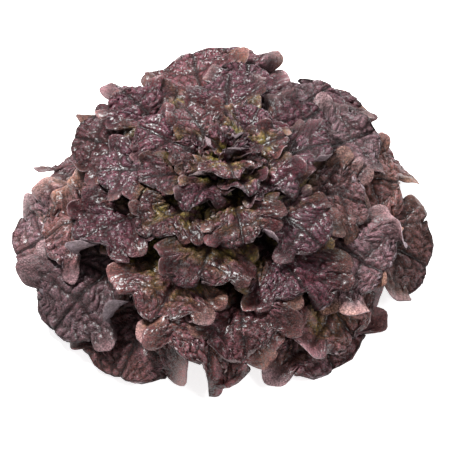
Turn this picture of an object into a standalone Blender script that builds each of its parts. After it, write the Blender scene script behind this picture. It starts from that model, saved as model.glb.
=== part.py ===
"""Oak leaf lettuce, one cut head: a short tapered stem, the separate lobed leaves that grow
round it from the oldest at the bottom to the youngest at the top, and the small heart.

Run with: blender --background --python part.py
Lengths are in metres, +Z is up, and the origin is the middle of the stem's cut face.
"""
import math

import bpy
import numpy as np

# Driving sizes of the head.
HEAD_RADIUS = 0.146                  # reach of the oldest leaves' tips from the axis
HEART_HEIGHT = 0.082                 # height of the leaf tips round the heart
RIM_HEIGHT = 0.006                   # height of the oldest leaves' tips
DOME_POWER = 2.6                     # how squarely the dome falls from heart to rim
CROWDING = 0.68                      # below 1 the tips crowd towards the rim
RIM_LEAVES = 9                       # oldest leaves, which lie evenly round the rim
OUTER_LEAVES = 16                    # leaves with four lobes a side, the oldest among them
INNER_LEAVES = 20                    # smaller leaves with three lobes a side
HEART_LEAVES = 12                    # small leaves that are still one tight bunch
GOLDEN_ANGLE = math.pi * (3 - math.sqrt(5))
FIRST_BEARING = math.radians(150)
SEED = 7

# The stem: cut across at the bottom, tapering to the growing point.
STEM_FOOT_RADIUS = 0.0155
STEM_TOP_RADIUS = 0.0035
STEM_HEIGHT = 0.043
STEM_TAPER_POWER = 1.6
STEM_CUT_BEVEL = 0.0010
STEM_SIDES = 20
STEM_STEPS = 10
FIRST_ROOT_HEIGHT = 0.0075
LAST_ROOT_HEIGHT = 0.0400
TOUCH_GAP = 0.0003                   # between pieces that touch

# The egg-shaped core that the heart's leaves grow from, above the stem.
CORE_RADIUS = 0.0048
CORE_HEIGHT = 0.019
CORE_NECK = 0.15                     # share of the egg cut off at its base
CORE_SIDES = 10
CORE_STEPS = 7
HEART_ROOT_RADIUS = 0.0015
HEART_ROOTS = (0.15, 0.70)           # first and last root, as shares of the core's height

# A leaf's run and width. A pair is for the youngest leaf and the oldest one.
BOW = (math.radians(22), math.radians(38))       # half the turn from root to tip
STEEPEST_RISE = math.radians(80)
HALF_WIDTH = (0.014, 0.056)
WIDTH_POWER = 0.8
ROOT_WIDTH_SHARE = 0.7               # half the base's width, to the stem's radius there
LEAST_ROOT_RADIUS = 0.004
RUFFLE = (0.003, 0.009)              # height of the waves along the edges
WIDENS_FROM = 0.04                   # shares of the length
WIDEST = 0.68
END_NARROWING = 0.38

# The lobes.
MOST_LOBES = 4
LOBES_START = 0.34                   # share of the length where they begin
LOBE_DEPTH = 0.40
LOBE_ROUNDNESS = 0.6
STALK_NARROWING_FROM = 0.20
TIP_BULGE = 0.10                     # share of the length that the end lobe stands out
TIP_BULGE_FROM = 0.72

# How far leaves differ from each other, as the largest shift either way or as a range.
TIP_RADIUS_SPREAD = 0.05
TIP_HEIGHT_SPREAD = 0.10
BOW_SPREAD = math.radians(6)
BEARING_SPREAD = 0.08
WIDTH_SPREAD = 0.004
LEAN_SPREAD = 0.012
TWIST_SPREAD = math.radians(16)
TIP_CURL_SPREAD = 0.008
LOBE_CURL_SPREAD = 0.0045
CUP_RANGE = (0.5, 1.0)               # curvature across, to that of the head
RUFFLE_RANGE = (0.7, 1.2)
LOBE_SIZE_RANGE = (0.86, 1.08)
LOBE_SWEEP_RANGE = (0.25, 0.60)      # how far the lobes lean towards the tip

# The blade's thickness.
BLADE_THICKNESS = 0.0009
RIB_THICKNESS = (0.0011, 0.0024)     # of the fleshy midrib at the root
RIB_WIDTH = 0.28                     # share of the half width
RIB_END = 0.75                       # share of the length

# The grid of points on a blade.
ROWS_PER_LOBE = 3
PLAIN_ROWS = 2                       # below the lobes
BLADE_COLUMNS = 6
HEART_COLUMNS = 4
MIDRIB_STEPS = 151
MIDRIB_OVERRUN = 1.5                 # the midrib's curve is followed past the leaf's tip

# The map of what lies at each distance and bearing from the origin, to lay leaf on leaf.
CLEARANCE = 0.0007                   # kept between one leaf and the next
FLOOR_GAP = 0.0012                   # kept between the leaves and the surface below
MAP_STEP = 0.00125
MAP_ROWS = 148
MAP_BEARINGS = 720
MAP_SPREAD = 0.0011                  # how far beside a leaf the next one keeps away
MOST_SPREAD_COLUMNS = 12             # where the map is narrow, near the axis
NOTHING_YET = -9.0
SAMPLES_PER_EDGE = 14
LAYING_PASSES = 12
LIFT_SHARED = 0.8                    # of a lift, with the points round it
SMALL_LIFT = 1e-4
STEEPEST = math.radians(89)

LEAF_COLOUR = (0.098, 0.048, 0.046)
HEART_COLOUR = (0.135, 0.052, 0.036)
STEM_COLOUR = (0.60, 0.54, 0.33)
LEAF_ROUGHNESS = 0.42
STEM_ROUGHNESS = 0.5


def ease(x):
    """Smooth step from 0 to 1: 3x^2 - 2x^3 between the ends, flat outside them."""
    x = np.clip(x, 0.0, 1.0)
    return x * x * (3.0 - 2.0 * x)


def between(pair, share):
    """The value at a share of the way from the first of a pair to the second."""
    return pair[0] + (pair[1] - pair[0]) * share


def stem_taper(height):
    """Radius of the stem at a height: a slow taper that rounds in towards the top."""
    share = np.clip(height / STEM_HEIGHT, 0.0, 1.0)
    return between((STEM_FOOT_RADIUS, STEM_TOP_RADIUS), share ** STEM_TAPER_POWER)


def leaf_bearing(index):
    """Turn of a leaf about the axis: the golden angle from each to the next, but the leaves
    of the rim have slid apart until they lie evenly, in the same order round the head."""
    if index >= RIM_LEAVES:
        return FIRST_BEARING + index * GOLDEN_ANGLE
    turns = np.arange(RIM_LEAVES) * GOLDEN_ANGLE % (2 * math.pi)
    rank = int(np.sum(turns < turns[index]))
    return FIRST_BEARING + rank * 2 * math.pi / RIM_LEAVES


def leaf_root(index):
    """Radius and height of a leaf's root, and its lobes a side: up the stem for the separate
    leaves, and up the core for those of the heart."""
    separate = OUTER_LEAVES + INNER_LEAVES
    if index < separate:
        place = index / (separate - 1)
        height = between((FIRST_ROOT_HEIGHT, LAST_ROOT_HEIGHT), place)
        lobes = MOST_LOBES if index < OUTER_LEAVES else MOST_LOBES - 1
        return float(stem_taper(height)) + TOUCH_GAP + CLEARANCE / 2, height, lobes
    place = (index - separate) / (HEART_LEAVES - 1)
    height = STEM_HEIGHT + CORE_HEIGHT * between(HEART_ROOTS, place)
    return HEART_ROOT_RADIUS, height, MOST_LOBES - 2


def leaf_plan(index):
    """The sizes of one leaf by its place in the spiral, 0 the oldest.

    A tip's distance from the axis falls with its place counted from the middle, so that the
    tips are spread over the whole head as seen from above, and its height follows the dome.
    The midrib turns evenly from root to tip, so it is an arc over the chord between them.
    """
    total = OUTER_LEAVES + INNER_LEAVES + HEART_LEAVES
    draw = np.random.default_rng([SEED, index])
    spread = min((total - index) / (total - RIM_LEAVES), 1.0) ** CROWDING
    tip_radius = HEAD_RADIUS * spread * (1 + TIP_RADIUS_SPREAD * draw.uniform(-1, 1))
    tip_height = between((HEART_HEIGHT, RIM_HEIGHT), spread ** DOME_POWER)
    tip_height = tip_height * (1 + TIP_HEIGHT_SPREAD * draw.uniform(-1, 1))
    age = 1.0 - index / (total - 1)
    root_radius, root_height, lobes = leaf_root(index)
    chord = math.hypot(tip_radius - root_radius, tip_height - root_height)
    slope = math.atan2(tip_height - root_height, tip_radius - root_radius)
    bow = between(BOW, age) + BOW_SPREAD * draw.uniform(-1, 1)
    return {
        "lobes": lobes,
        "bearing": leaf_bearing(index) + BEARING_SPREAD * draw.uniform(-1, 1),
        "root_height": root_height,
        "root_radius": root_radius,
        "length": chord * bow / math.sin(bow),
        "rise": min(slope + bow, STEEPEST_RISE),
        "droop": slope - bow,
        "half_width": between(HALF_WIDTH, age ** WIDTH_POWER) + WIDTH_SPREAD * draw.uniform(-1, 1),
        "root_width": ROOT_WIDTH_SHARE * max(root_radius, LEAST_ROOT_RADIUS),
        "rib": between(RIB_THICKNESS, age),
        "cup": draw.uniform(*CUP_RANGE) / tip_radius,
        "ruffle": between(RUFFLE, age) * draw.uniform(*RUFFLE_RANGE),
        "ruffle_turn": draw.uniform(0, 2 * math.pi, 2),
        "curl": LOBE_CURL_SPREAD * draw.uniform(-1, 1, (2, MOST_LOBES)),
        "lobe_size": draw.uniform(*LOBE_SIZE_RANGE, (2, MOST_LOBES)),
        "sweep": draw.uniform(*LOBE_SWEEP_RANGE, 2),
        "lean": LEAN_SPREAD * draw.uniform(-1, 1),
        "twist": TWIST_SPREAD * draw.uniform(-1, 1),
        "tip_curl": TIP_CURL_SPREAD * draw.uniform(-1, 1) * age,
    }


def midrib(plan, along):
    """Radius, height and slope of the midrib at lengths `along` it, the slope easing evenly
    from the rise at the root to the droop at the tip."""
    steps = np.linspace(0.0, MIDRIB_OVERRUN * plan["length"], MIDRIB_STEPS)
    slope = plan["rise"] + (plan["droop"] - plan["rise"]) * steps / plan["length"]
    stride = steps[1] - steps[0]
    middle = (slope[1:] + slope[:-1]) / 2
    radius = plan["root_radius"] + stride * np.concatenate([[0.0], np.cumsum(np.cos(middle))])
    height = plan["root_height"] + stride * np.concatenate([[0.0], np.cumsum(np.sin(middle))])
    return (np.interp(along, steps, radius), np.interp(along, steps, height),
            np.interp(along, steps, slope))


def lobe_phase(plan, u):
    """How many lobes, counted from the first notch, lie below share u of the length, and the
    number of the lobe there."""
    phase = np.clip((u - LOBES_START) / (1 - LOBES_START), 0.0, 1.0) * plan["lobes"]
    return phase, np.minimum(phase.astype(int), plan["lobes"] - 1)


def blade_half_width(plan, u, side):
    """Half the blade's width at share u of its length: a narrow stalk that widens to the
    broad end, scalloped by rounded lobes with tight notches between them."""
    growing = ease((u - WIDENS_FROM) / (WIDEST - WIDENS_FROM))
    closing = np.clip((u - WIDEST) / (1 - WIDEST), 0.0, 1.0)
    broad = between((plan["root_width"], plan["half_width"]), growing)
    broad = broad * (1.0 - END_NARROWING * closing ** 2)
    phase, which = lobe_phase(plan, u)
    bump = np.abs(np.sin(math.pi * phase)) ** LOBE_ROUNDNESS
    lobed = 1.0 - LOBE_DEPTH * (1.0 - bump * plan["lobe_size"][side][which])
    narrowing = (u - STALK_NARROWING_FROM) / (LOBES_START - STALK_NARROWING_FROM)
    plain = 1.0 - LOBE_DEPTH * ease(narrowing)
    return broad * np.where(u < LOBES_START, plain, lobed)


def blade_points(plan, u, v):
    """The blade's upper face in space, for arrays of u along it and v across it (-1 to 1).

    Lengths along the midrib and across the blade are laid on the bowed midrib and on a
    cross-section that is a circular arc, then lifted off it by the ruffle, which turns each
    lobe up or down, and by the curl of each lobe's edge.
    """
    side = (v > 0).astype(int)
    half = np.where(side == 1, blade_half_width(plan, u, 1), blade_half_width(plan, u, 0))
    across = half * v
    begun = ease(u / LOBES_START)
    bulge = TIP_BULGE * (1 - v ** 2) * ease((u - TIP_BULGE_FROM) / (1 - TIP_BULGE_FROM))
    along = plan["length"] * (u * (1 - TIP_BULGE) + bulge)
    along = along + plan["sweep"][side] * np.abs(across) * begun
    radius, height, slope = midrib(plan, along)
    bend = across * plan["cup"]
    sideways = np.sin(bend) / plan["cup"]
    lift = (1 - np.cos(bend)) / plan["cup"]
    phase, which = lobe_phase(plan, u)
    edge = np.abs(v)
    wave = np.sin(math.pi * phase + plan["ruffle_turn"][side])
    lift = lift + plan["ruffle"] * wave * edge ** 1.5 * begun
    lift = lift + plan["curl"][side, which] * edge ** 4 * np.abs(np.sin(math.pi * phase))
    lift = lift + plan["tip_curl"] * ease((u - TIP_BULGE_FROM) / (1 - TIP_BULGE_FROM))
    twist = plan["twist"] * u
    out_of_face = lift * np.cos(twist) + sideways * np.sin(twist)
    sideways = sideways * np.cos(twist) - lift * np.sin(twist) + plan["lean"] * u ** 2
    radius = radius - out_of_face * np.sin(slope)
    height = height + out_of_face * np.cos(slope)
    ahead = (math.cos(plan["bearing"]), math.sin(plan["bearing"]))
    return np.stack([radius * ahead[0] - sideways * ahead[1],
                     radius * ahead[1] + sideways * ahead[0], height], axis=-1)


def blade_thickness(plan, u, v):
    """Thickness below the upper face: thin at the edge, swelling to the fleshy midrib."""
    rib = np.exp(-(v / RIB_WIDTH) ** 2) * (1 - ease(u / RIB_END))
    return between((BLADE_THICKNESS, plan["rib"]), rib)


def blade_grid(lobes, columns):
    """u and v of the grid's points, with rows at each lobe's notches and shoulders."""
    plain = np.linspace(0.0, LOBES_START, PLAIN_ROWS + 1)[:-1]
    lobed = np.linspace(LOBES_START, 1.0, lobes * ROWS_PER_LOBE + 1)
    return np.meshgrid(np.concatenate([plain, lobed]), np.linspace(-1, 1, columns + 1),
                       indexing="ij")


def grid_triangles(rows, columns):
    """Corner numbers of the triangles of a grid, two to a cell, turned alike."""
    number = np.arange((rows + 1) * (columns + 1)).reshape(rows + 1, columns + 1)
    a, b = number[:-1, :-1].ravel(), number[1:, :-1].ravel()
    c, d = number[1:, 1:].ravel(), number[:-1, 1:].ravel()
    return np.concatenate([np.stack([a, b, c], 1), np.stack([a, c, d], 1)])


def under_face(points, triangles, thickness):
    """The blade's lower face: each point moved back along its own normal, which is the mean
    of the normals of the facets round it, weighted by their corner angles."""
    normals = np.zeros(points.shape)
    for corner in range(3):
        here = points[triangles[:, corner]]
        ahead = points[triangles[:, (corner + 1) % 3]] - here
        behind = points[triangles[:, (corner + 2) % 3]] - here
        ahead /= np.linalg.norm(ahead, axis=1, keepdims=True)
        behind /= np.linalg.norm(behind, axis=1, keepdims=True)
        facing = np.cross(ahead, behind)
        size = np.linalg.norm(facing, axis=1, keepdims=True)
        angle = np.arctan2(size, np.sum(ahead * behind, axis=1, keepdims=True))
        np.add.at(normals, triangles[:, corner], facing / np.maximum(size, 1e-9) * angle)
    normals /= np.maximum(np.linalg.norm(normals, axis=1, keepdims=True), 1e-9)
    return points - normals * thickness[:, None]


def polar(points):
    """Distance from the origin, bearing and elevation of points in space."""
    distance = np.linalg.norm(points, axis=-1)
    bearing = np.arctan2(points[..., 1], points[..., 0]) % (2 * math.pi)
    elevation = np.arcsin(np.clip(points[..., 2] / np.maximum(distance, 1e-9), -1, 1))
    return distance, bearing, elevation


def from_polar(distance, bearing, elevation):
    """Points in space at a distance, bearing and elevation."""
    flat = distance * np.cos(elevation)
    return np.stack([flat * np.cos(bearing), flat * np.sin(bearing),
                     distance * np.sin(elevation)], axis=-1)


def facet_weights():
    """Barycentric weights of an even lattice of samples over a triangle."""
    count = SAMPLES_PER_EDGE
    i, j = np.meshgrid(np.arange(count + 1), np.arange(count + 1), indexing="ij")
    inside = i + j <= count
    i, j = i[inside], j[inside]
    return np.stack([count - i - j, i, j], axis=1) / count


def map_cells(distance, bearing):
    """Row and column of the map for each distance and bearing."""
    row = np.clip((distance / MAP_STEP).astype(int), 0, MAP_ROWS - 1)
    column = (bearing / (2 * math.pi) * MAP_BEARINGS).astype(int) % MAP_BEARINGS
    return row, column


def row_distances():
    """Distance from the origin at the middle of each row of the map."""
    return (np.arange(MAP_ROWS) + 0.5) * MAP_STEP


def empty_map():
    """The highest elevation taken so far at each distance and bearing: at first, the floor."""
    floor = np.arcsin(np.clip(FLOOR_GAP / row_distances(), 0, 1))
    return np.repeat(floor[:, None], MAP_BEARINGS, axis=1)


def raise_map(taken, faces, triangles, weights):
    """Marks a leaf's two faces on the map, filling the pinholes between samples, and spreads
    them sideways by the room that the next leaf leaves beside them."""
    leaf = np.full(taken.shape, NOTHING_YET)
    for points in faces:
        samples = np.einsum("sk,tkx->tsx", weights, points[triangles]).reshape(-1, 3)
        distance, bearing, elevation = polar(samples)
        np.maximum.at(leaf, map_cells(distance, bearing), elevation)
    for _ in range(2):
        around = [np.roll(leaf, shift, axis) for axis in (0, 1) for shift in (-1, 1)]
        leaf = np.where(leaf == NOTHING_YET, np.maximum.reduce(around), leaf)
    tall = np.maximum(leaf, np.maximum(np.roll(leaf, 1, 0), np.roll(leaf, -1, 0)))
    wide = tall.copy()
    cell = row_distances() * 2 * math.pi / MAP_BEARINGS
    for shift in range(1, MOST_SPREAD_COLUMNS + 1):
        near = (shift - 0.5) * cell < MAP_SPREAD
        for way in (-shift, shift):
            wide[near] = np.maximum(wide[near], np.roll(tall, way, 1)[near])
    return np.maximum(taken, wide)


def shared(lift):
    """A lift that the points round it take part in, so that a leaf bends and doesn't kink.
    The rows by the root take no part: they stay on the stem."""
    hold = ease(np.arange(lift.shape[0]) / 3)[:, None]
    for _ in range(3):
        padded = np.pad(lift, 1, mode="edge")
        mean = (padded[2:, 1:-1] + padded[:-2, 1:-1] + padded[1:-1, 2:] + padded[1:-1, :-2]) / 4
        lift = np.maximum(lift, LIFT_SHARED * mean * hold)
    return lift


def lay_on(taken, points, triangles, weights, thickness, shape):
    """Lifts a leaf's points along their circles of equal distance until both of its faces
    clear what lies below."""
    distance, bearing, elevation = polar(points)
    for _ in range(LAYING_PASSES):
        placed = from_polar(distance, bearing, elevation)
        lift = np.zeros(len(points))
        for face in (placed, under_face(placed, triangles, thickness)):
            samples = np.einsum("sk,tkx->tsx", weights, face[triangles])
            q, b, e = polar(samples)
            need = taken[map_cells(q, b)] + CLEARANCE / q - e
            for corner in range(3):
                most = (need * np.minimum(2 * weights[:, corner], 1.0)).max(axis=1)
                np.maximum.at(lift, triangles[:, corner], most)
        if lift.max() < SMALL_LIFT:
            break
        lift = shared(lift.reshape(shape)).ravel()
        elevation = np.minimum(elevation + lift, STEEPEST)
    return from_polar(distance, bearing, elevation)


def laid_leaves():
    """Every leaf in order from the oldest, each laid on those below it: its upper face, its
    lower face, its triangles and its thickness."""
    taken = empty_map()
    weights = facet_weights()
    leaves = []
    for index in range(OUTER_LEAVES + INNER_LEAVES + HEART_LEAVES):
        plan = leaf_plan(index)
        in_heart = index >= OUTER_LEAVES + INNER_LEAVES
        u, v = blade_grid(plan["lobes"], HEART_COLUMNS if in_heart else BLADE_COLUMNS)
        triangles = grid_triangles(u.shape[0] - 1, u.shape[1] - 1)
        points = blade_points(plan, u, v).reshape(-1, 3)
        thickness = blade_thickness(plan, u, v).ravel()
        points = lay_on(taken, points, triangles, weights, thickness, u.shape)
        under = under_face(points, triangles, thickness)
        taken = raise_map(taken, (points, under), triangles, weights)
        leaves.append((points, under, triangles, thickness))
    return leaves


def stem_profile(leaves):
    """Radius and height of the stem's side from the foot to the top, its taper drawn in where
    a leaf's base would otherwise enter it."""
    heights = np.linspace(0.0, STEM_HEIGHT, STEM_STEPS)
    step = heights[1] - heights[0]
    bodies = np.concatenate([np.concatenate([points, under]) for points, under, _, _ in leaves])
    reach = np.hypot(bodies[:, 0], bodies[:, 1])
    radii = []
    for height in heights:
        near = np.abs(bodies[:, 2] - height) < step
        closest = reach[near].min() if near.any() else STEM_FOOT_RADIUS + TOUCH_GAP
        radii.append(min(float(stem_taper(height)), closest - TOUCH_GAP))
    return np.minimum.accumulate(radii), heights


def material(name, colour, roughness):
    """A plain Principled material."""
    made = bpy.data.materials.new(name)
    made.use_nodes = True
    shader = made.node_tree.nodes["Principled BSDF"]
    shader.inputs["Base Color"].default_value = (*colour, 1.0)
    shader.inputs["Roughness"].default_value = roughness
    shader.inputs["Metallic"].default_value = 0.0
    return made


def clear_scene():
    """Removes every object that the new file starts with."""
    for obj in list(bpy.data.objects):
        bpy.data.objects.remove(obj, do_unlink=True)


def apply_modifiers(obj):
    """Replaces an object's mesh by its evaluated one, without its modifiers."""
    graph = bpy.context.evaluated_depsgraph_get()
    finished = bpy.data.meshes.new_from_object(obj.evaluated_get(graph))
    obj.modifiers.clear()
    obj.data = finished


def leaf_object(name, leaf, finish, collection):
    """One leaf: its upper face as an open sheet, thickened downwards by Solidify, whose
    vertex group makes the midrib fleshy."""
    points, _, triangles, thickness = leaf
    mesh = bpy.data.meshes.new(name)
    mesh.from_pydata(points.tolist(), [], triangles.tolist())
    mesh.materials.append(finish)
    mesh.shade_smooth()
    mesh.update()
    obj = bpy.data.objects.new(name, mesh)
    collection.objects.link(obj)
    depth = obj.vertex_groups.new(name="depth")
    deepest = float(thickness.max())
    for number, value in enumerate(thickness):
        depth.add([number], float(value) / deepest, "REPLACE")
    solid = obj.modifiers.new("thickness", "SOLIDIFY")
    solid.thickness = deepest
    solid.vertex_group = "depth"
    solid.offset = -1.0
    return obj


def turned(name, profile, sides, finish, collection):
    """A solid of revolution: a profile of (radius, height), top to bottom, turned by Screw."""
    mesh = bpy.data.meshes.new(name)
    points = [(float(radius), 0.0, float(height)) for radius, height in profile]
    mesh.from_pydata(points, [(i, i + 1) for i in range(len(points) - 1)], [])
    mesh.materials.append(finish)
    obj = bpy.data.objects.new(name, mesh)
    collection.objects.link(obj)
    screw = obj.modifiers.new("turn", "SCREW")
    screw.steps = sides
    screw.render_steps = sides
    screw.use_merge_vertices = True
    screw.merge_threshold = 0.00001
    screw.use_smooth_shade = True
    return obj


def stem(leaves, finish, collection):
    """The stem from its growing point down to the flat cut face, whose rim is just rounded."""
    radii, heights = stem_profile(leaves)
    side = [(r, h) for r, h in zip(radii[::-1], heights[::-1]) if h > STEM_CUT_BEVEL]
    foot = [(radii[0], STEM_CUT_BEVEL), (radii[0] - STEM_CUT_BEVEL, 0.0), (0.0, 0.0)]
    profile = [(0.0, STEM_HEIGHT), *side, *foot]
    return turned("stem", profile, STEM_SIDES, finish, collection)


def core_profile():
    """The core's egg shape from its point down to its narrow neck."""
    base = STEM_HEIGHT + TOUCH_GAP
    shares = np.linspace(1.0, 0.0, CORE_STEPS)
    radii = CORE_RADIUS * np.sin(math.pi * between((CORE_NECK, 1.0), shares))
    side = list(zip(radii, base + CORE_HEIGHT * shares))
    return [(0.0, base + CORE_HEIGHT), *side[1:], (0.0, base)]


def heart(leaves, finish, collection):
    """The heart: the core above the stem and the leaves that grow from it, joined in one body
    by one Boolean union."""
    loose = bpy.data.collections.new("heart_leaves")
    bpy.context.scene.collection.children.link(loose)
    body = turned("heart", core_profile(), CORE_SIDES, finish, collection)
    for number, leaf in enumerate(leaves, start=1):
        leaf_object(f"heart_leaf_{number:02d}", leaf, finish, loose)
    join = body.modifiers.new("join", "BOOLEAN")
    join.operation = "UNION"
    join.solver = "MANIFOLD"
    join.operand_type = "COLLECTION"
    join.collection = loose
    apply_modifiers(body)
    for obj in list(loose.objects):
        bpy.data.objects.remove(obj, do_unlink=True)
    bpy.data.collections.remove(loose)
    return body


def build():
    """The whole head: leaves from the oldest up, the stem between them and the heart on top."""
    clear_scene()
    lettuce = bpy.data.collections.new("oak_leaf_lettuce")
    bpy.context.scene.collection.children.link(lettuce)
    leaf_finish = material("leaf", LEAF_COLOUR, LEAF_ROUGHNESS)
    heart_finish = material("heart", HEART_COLOUR, LEAF_ROUGHNESS)
    stem_finish = material("stem", STEM_COLOUR, STEM_ROUGHNESS)
    leaves = laid_leaves()
    separate = leaves[:OUTER_LEAVES + INNER_LEAVES]
    for number, leaf in enumerate(separate, start=1):
        leaf_object(f"leaf_{number:02d}", leaf, leaf_finish, lettuce)
    stem(separate, stem_finish, lettuce)
    heart(leaves[OUTER_LEAVES + INNER_LEAVES:], heart_finish, lettuce)


build()
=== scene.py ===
# %% [markdown]
# # A red oak leaf lettuce, leaf by leaf
# The imported model holds one plain, faceted solid for each leaf. This lesson loads those solids as
# a fixed frame and puts a crinkled, glossy leaf in the place of each one. The frame could be
# modelled over by eye, but then a leaf might drift from the solid that stands for it, so each
# leaf here starts from the same formula as its solid, on a much finer grid.

# %% Load the solids
import math

import bpy
import numpy as np
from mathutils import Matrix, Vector


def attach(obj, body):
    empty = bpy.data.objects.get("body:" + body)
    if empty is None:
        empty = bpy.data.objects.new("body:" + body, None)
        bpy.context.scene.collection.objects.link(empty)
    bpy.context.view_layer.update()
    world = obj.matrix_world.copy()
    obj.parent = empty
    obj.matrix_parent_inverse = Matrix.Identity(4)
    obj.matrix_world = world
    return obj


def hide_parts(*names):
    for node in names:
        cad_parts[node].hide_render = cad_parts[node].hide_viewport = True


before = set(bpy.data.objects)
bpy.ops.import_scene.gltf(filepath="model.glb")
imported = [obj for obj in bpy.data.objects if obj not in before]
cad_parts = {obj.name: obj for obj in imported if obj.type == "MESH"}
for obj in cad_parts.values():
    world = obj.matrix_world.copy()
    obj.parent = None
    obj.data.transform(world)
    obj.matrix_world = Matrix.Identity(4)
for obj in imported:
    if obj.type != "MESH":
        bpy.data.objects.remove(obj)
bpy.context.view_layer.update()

# %% [markdown]
# ## Camera
# The photograph looks down at the head from about 53 degrees above the table, from far enough
# away that the leaves at the front and the back look alike in size. A short lens close by would
# enlarge the front ones, so a long lens stands well back.

# %% Camera at the photograph's viewing angle
CAMERA_ELEVATION = math.radians(53)
CAMERA_DISTANCE = 1.20
LENS_MM = 135.8
AIM = Vector((0.0, 0.0, 0.005))


def place_facing(obj, place, aim):
    """Puts a camera or a light at a place and turns its -Z axis towards an aim."""
    obj.location = place
    obj.rotation_euler = (Vector(aim) - Vector(place)).to_track_quat("-Z", "Y").to_euler()
    bpy.context.scene.collection.objects.link(obj)


camera = bpy.data.objects.new("camera", bpy.data.cameras.new("camera"))
camera.data.lens = LENS_MM
away = Vector((0.0, -math.cos(CAMERA_ELEVATION), math.sin(CAMERA_ELEVATION)))
place_facing(camera, AIM + away * CAMERA_DISTANCE, AIM)
bpy.context.scene.camera = camera
print("camera at", tuple(round(x, 3) for x in camera.location))

# %% [markdown]
# ## Studio
# The photograph was taken on white, under broad soft light from above, with small bright spots
# on every blister. One large lamp could light it, but then the spots would all be alike. Here dim
# white surroundings fill the shadows, and three soft boxes give the spots: a strong one at the
# upper left, and two weaker ones. The floor glows a little, to stay white close to the head.

# %% White floor
FLOOR_WHITE = (0.93, 0.93, 0.93, 1.0)
FLOOR_REACH = 4.0
FLOOR_ROUGHNESS = 0.7
FLOOR_GLOW = 0.80

floor_mesh = bpy.data.meshes.new("floor")
corners = [(x * FLOOR_REACH, y * FLOOR_REACH, 0) for x, y in ((-1, -1), (1, -1), (1, 1), (-1, 1))]
floor_mesh.from_pydata(corners, [], [(0, 1, 2, 3)])
floor = bpy.data.objects.new("floor", floor_mesh)
bpy.context.scene.collection.objects.link(floor)
floor_finish = bpy.data.materials.new("white floor")
floor_finish.use_nodes = True
for socket, value in (("Base Color", FLOOR_WHITE), ("Roughness", FLOOR_ROUGHNESS),
                      ("Emission Color", FLOOR_WHITE), ("Emission Strength", FLOOR_GLOW)):
    floor_finish.node_tree.nodes["Principled BSDF"].inputs[socket].default_value = value
floor_mesh.materials.append(floor_finish)
print("floor:", 2 * FLOOR_REACH, "m wide")

# %% Surroundings and soft boxes
SURROUND_STRENGTH = 0.31
SOFT_BOX_AIM = (0.0, 0.0, 0.04)
SOFT_BOXES = {  # place, side in metres, watts
    "key light": ((-0.35, 0.25, 0.85), 0.22, 17.0),
    "fill light": ((0.55, -0.45, 0.75), 0.26, 3.5),
    "back light": ((0.30, 0.80, 0.55), 0.26, 6.0),
}

surroundings = bpy.data.worlds.new("white surroundings")
surroundings.use_nodes = True
backdrop = surroundings.node_tree.nodes["Background"].inputs
backdrop["Color"].default_value = (1.0, 1.0, 1.0, 1.0)
backdrop["Strength"].default_value = SURROUND_STRENGTH
bpy.context.scene.world = surroundings
bpy.context.scene.view_settings.view_transform = "Standard"
for name, (place, size, watts) in SOFT_BOXES.items():
    lamp = bpy.data.lights.new(name, "AREA")
    lamp.size = size
    lamp.energy = watts
    place_facing(bpy.data.objects.new(name, lamp), place, SOFT_BOX_AIM)
print("soft boxes:", list(SOFT_BOXES))

# %% [markdown]
# ## How the head grows
# A lettuce makes one leaf after another round its stem, each turned by the golden angle from the
# last, about 137.5 degrees, so that no leaf lies straight above another. The oldest are the
# largest, and reach the rim. The leaves could be placed one by one, but the rule that the plant
# follows needs only these sizes, which the solids were made with too.

# %% Sizes of the head, from the solids
HEAD_RADIUS = 0.146
HEART_HEIGHT = 0.082
RIM_HEIGHT = 0.006
DOME_POWER = 2.6
CROWDING = 0.68
RIM_LEAVES = 9
OUTER_LEAVES = 16
INNER_LEAVES = 20
HEART_LEAVES = 12
ALL_LEAVES = OUTER_LEAVES + INNER_LEAVES + HEART_LEAVES
BUD_LEAVES = 5  # the youngest, which close over the middle
GOLDEN_ANGLE = math.pi * (3 - math.sqrt(5))
FIRST_BEARING = math.radians(150)
SEED = 7
STEM_FOOT_RADIUS = 0.0155
STEM_TOP_RADIUS = 0.0035
STEM_HEIGHT = 0.043
ROOT_HEIGHTS = (0.0075, 0.0400)
ROOT_GAP = 0.00065
CORE_HEIGHT = 0.019
HEART_ROOT_RADIUS = 0.0015
HEART_ROOTS = (0.15, 0.70)


def ease(x):
    """Smooth step from 0 to 1: 3x^2 - 2x^3 between the ends, flat outside them."""
    x = np.clip(x, 0.0, 1.0)
    return x * x * (3.0 - 2.0 * x)


def between(pair, share):
    """The value at a share of the way from the first of a pair to the second."""
    return pair[0] + (pair[1] - pair[0]) * share


print("leaves:", ALL_LEAVES, "golden angle:", round(math.degrees(GOLDEN_ANGLE), 1))


# %% Where a leaf grows from
def leaf_bearing(index):
    """Turn of a leaf about the axis: golden angles, but even steps for the leaves of the rim."""
    if index >= RIM_LEAVES:
        return FIRST_BEARING + index * GOLDEN_ANGLE
    turns = np.arange(RIM_LEAVES) * GOLDEN_ANGLE % (2 * math.pi)
    return FIRST_BEARING + int(np.sum(turns < turns[index])) * 2 * math.pi / RIM_LEAVES


def leaf_root(index):
    """Radius and height of a leaf's root and its lobes a side: up the stem, then the core."""
    separate = OUTER_LEAVES + INNER_LEAVES
    if index < separate:
        height = between(ROOT_HEIGHTS, index / (separate - 1))
        taper = (height / STEM_HEIGHT) ** 1.6
        radius = between((STEM_FOOT_RADIUS, STEM_TOP_RADIUS), taper) + ROOT_GAP
        return radius, height, 4 if index < OUTER_LEAVES else 3
    place = (index - separate) / (HEART_LEAVES - 1)
    return HEART_ROOT_RADIUS, STEM_HEIGHT + CORE_HEIGHT * between(HEART_ROOTS, place), 2


print("roots of the oldest and the youngest:", leaf_root(0), leaf_root(ALL_LEAVES - 1))

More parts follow.
